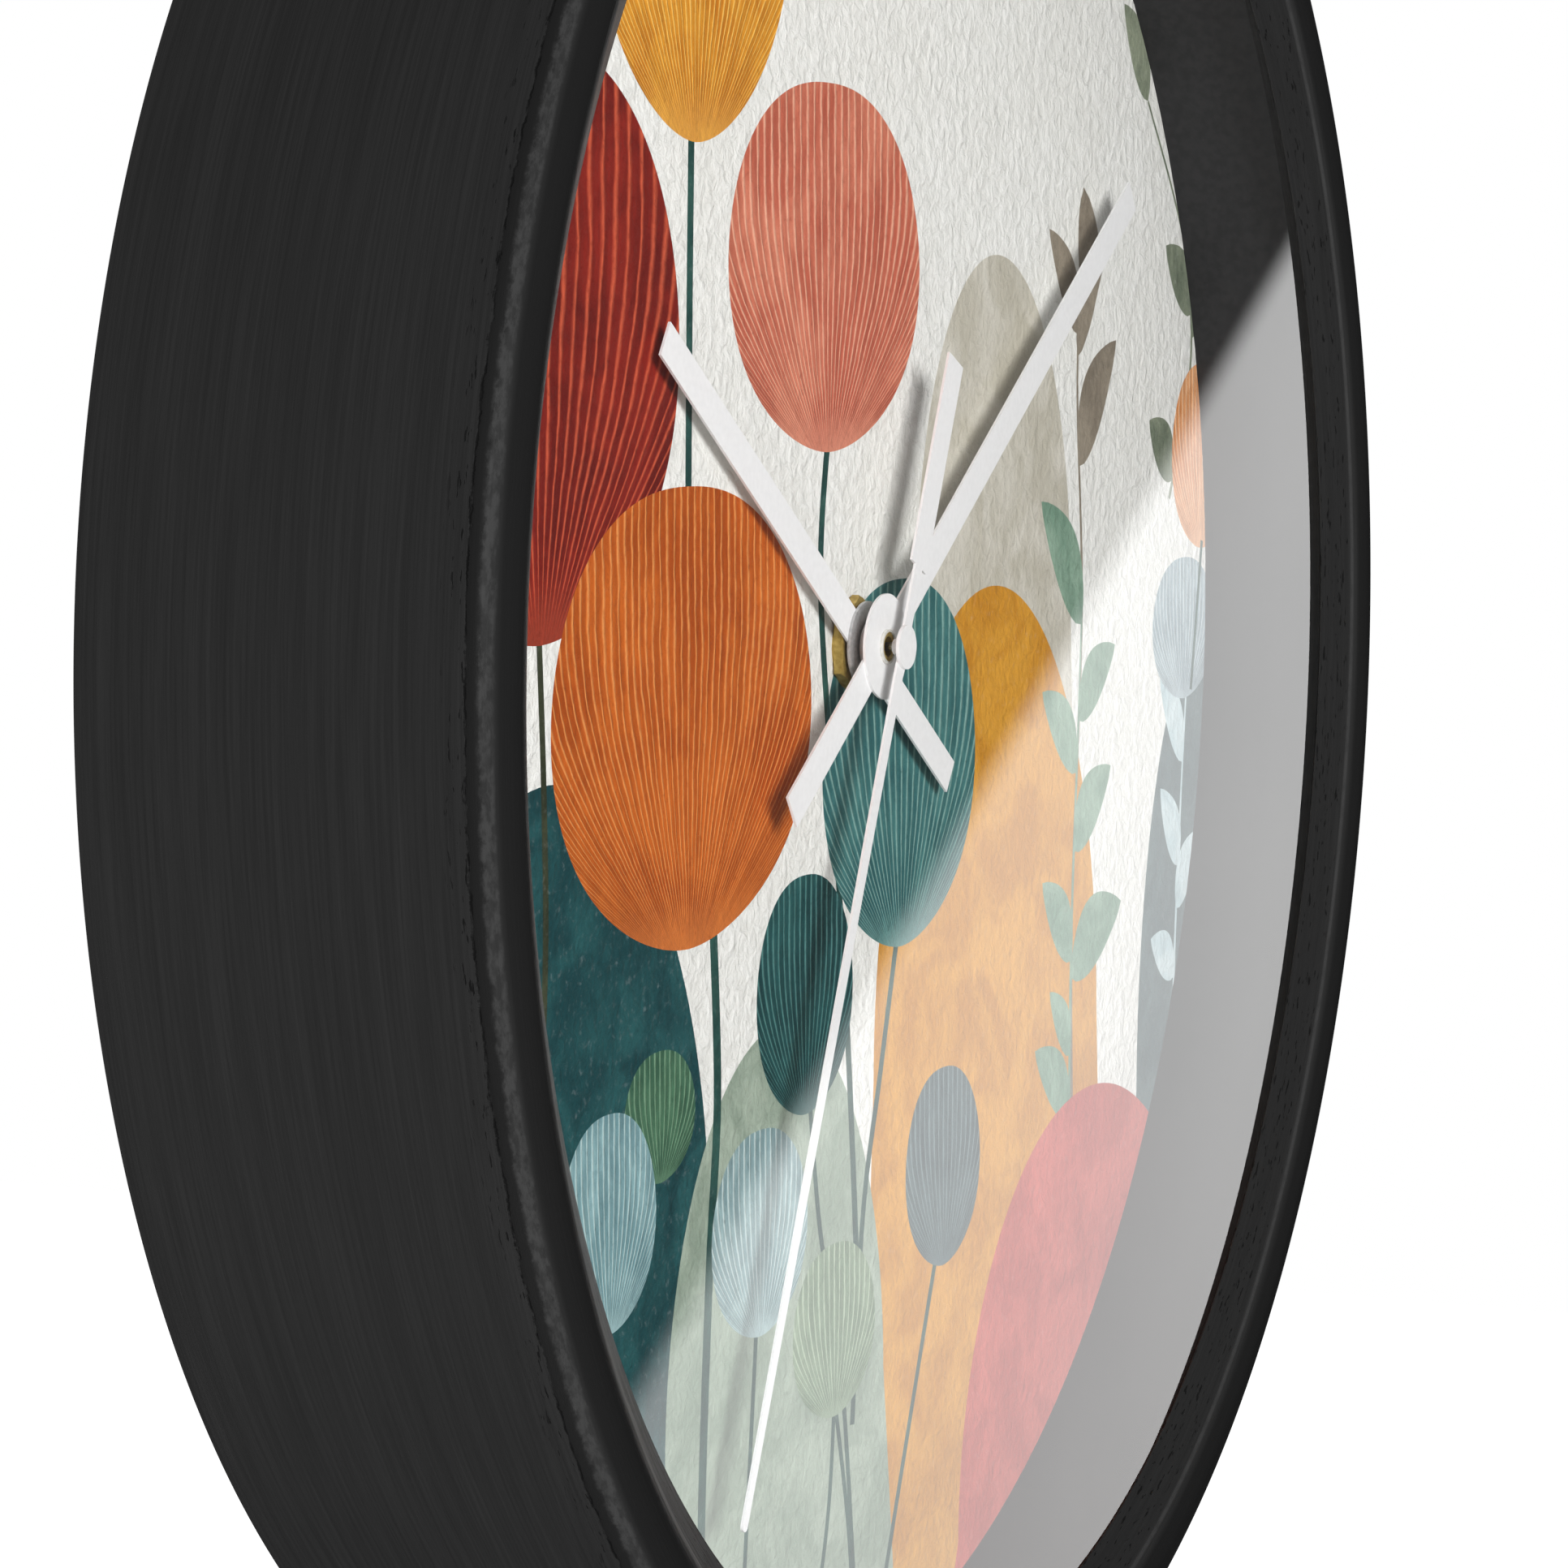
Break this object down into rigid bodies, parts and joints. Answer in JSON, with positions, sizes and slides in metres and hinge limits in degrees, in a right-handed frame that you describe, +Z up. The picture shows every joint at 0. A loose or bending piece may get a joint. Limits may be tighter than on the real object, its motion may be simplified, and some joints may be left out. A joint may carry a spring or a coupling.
{
  "type": "wall clock",
  "caption": "Round analogue wall clock with a deep black wooden rim, glass front, printed floral dial, three plain hands and a battery quartz movement behind.",
  "frame": {"origin": "on the wall plane, behind the centre of the hands", "axes": "+Z is up towards twelve o'clock, -Y is the front towards the viewer, +Y goes into the wall, +X is towards three o'clock"},
  "size_m": [0.254, 0.0435, 0.254],
  "materials": {
    "frame": "satin black paint over close-grained wood",
    "glazing_points": "plain",
    "backing_board": "smooth hardboard",
    "dial": "matte printed card with a fine paper texture",
    "spacer_ring": "matte black",
    "lens": "clear polished",
    "rubber_washer": "matte",
    "front_washer": "polished",
    "hex_nut": "polished",
    "case_front": "moulded black",
    "case_back": "moulded black",
    "middle_plate": "moulded natural",
    "rotor_magnet": "sintered dark grey",
    "rotor_pinion": "moulded natural",
    "stator": "stamped",
    "coil_bobbin": "moulded natural",
    "coil_winding": "enamelled copper wire",
    "circuit_board": "phenolic board",
    "chip": "black resin",
    "crystal": "bright can",
    "battery": "plain printed sleeve with no lettering",
    "contact_positive": "plated spring strip",
    "contact_negative": "plated spring strip",
    "step_wheel": "moulded natural",
    "second_wheel": "moulded natural",
    "second_arbor": "drawn wire",
    "third_wheel": "moulded natural",
    "centre_wheel": "moulded natural",
    "minute_tube": "turned",
    "motion_wheel": "moulded natural",
    "hour_wheel": "moulded natural",
    "setting_knob": "moulded natural",
    "hour_hand": "matte pale paint",
    "hour_collet": "polished",
    "minute_hand": "matte pale paint",
    "minute_collet": "polished",
    "second_hand": "matte pale paint",
    "second_collet": "matte pale paint"
  },
  "bodies": {
    "clock": {"frame": "frame", "glazing_points": "glazing_points", "backing_board": "backing_board", "dial": "dial", "spacer_ring": "spacer_ring", "lens": "lens", "rubber_washer": "rubber_washer", "front_washer": "front_washer", "hex_nut": "hex_nut", "case_front": "case_front", "case_back": "case_back", "middle_plate": "middle_plate", "stator": "stator", "coil_bobbin": "coil_bobbin", "coil_winding": "coil_winding", "circuit_board": "circuit_board", "chip": "chip", "crystal": "crystal", "battery": "battery", "contact_positive": "contact_positive", "contact_negative": "contact_negative"},
    "seconds": {"second_wheel": "second_wheel", "second_arbor": "second_arbor", "second_hand": "second_hand", "second_collet": "second_collet"},
    "rotor": {"rotor_magnet": "rotor_magnet", "rotor_pinion": "rotor_pinion"},
    "step": {"step_wheel": "step_wheel"},
    "third": {"third_wheel": "third_wheel"},
    "minutes": {"centre_wheel": "centre_wheel", "minute_tube": "minute_tube", "minute_hand": "minute_hand", "minute_collet": "minute_collet"},
    "hours": {"hour_wheel": "hour_wheel", "hour_hand": "hour_hand", "hour_collet": "hour_collet"},
    "setting": {"motion_wheel": "motion_wheel", "setting_knob": "setting_knob"}
  },
  "joints": [
    {"name": "second_turn", "type": "hinge", "parent": "clock", "child": "seconds", "pos_m": [0, -0.0274, 0], "axis": [0, 1, 0], "continuous": true},
    {"name": "rotor_turn", "type": "hinge", "parent": "clock", "child": "rotor", "pos_m": [-0.00123, -0.007, 0.0132], "axis": [0, 1, 0], "continuous": true},
    {"name": "step_turn", "type": "hinge", "parent": "clock", "child": "step", "pos_m": [-0.00239, -0.005, 0.00658], "axis": [0, 1, 0], "continuous": true},
    {"name": "third_turn", "type": "hinge", "parent": "clock", "child": "third", "pos_m": [-0.009, -0.008, 0], "axis": [0, 1, 0], "continuous": true},
    {"name": "minute_turn", "type": "hinge", "parent": "clock", "child": "minutes", "pos_m": [0, -0.0246, 0], "axis": [0, 1, 0], "continuous": true},
    {"name": "hour_turn", "type": "hinge", "parent": "clock", "child": "hours", "pos_m": [0, -0.0225, 0], "axis": [0, 1, 0], "continuous": true},
    {"name": "setting_turn", "type": "hinge", "parent": "clock", "child": "setting", "pos_m": [0.0087, -0.012, 0.00406], "axis": [0, 1, 0], "continuous": true}
  ],
  "couplings": [
    {"joint": "rotor_turn", "follows": "second_turn", "ratio": 30},
    {"joint": "step_turn", "follows": "second_turn", "ratio": -6},
    {"joint": "third_turn", "follows": "second_turn", "ratio": -0.13333},
    {"joint": "minute_turn", "follows": "second_turn", "ratio": 0.016667},
    {"joint": "hour_turn", "follows": "second_turn", "ratio": 0.0013889},
    {"joint": "setting_turn", "follows": "second_turn", "ratio": -0.0055556}
  ]
}
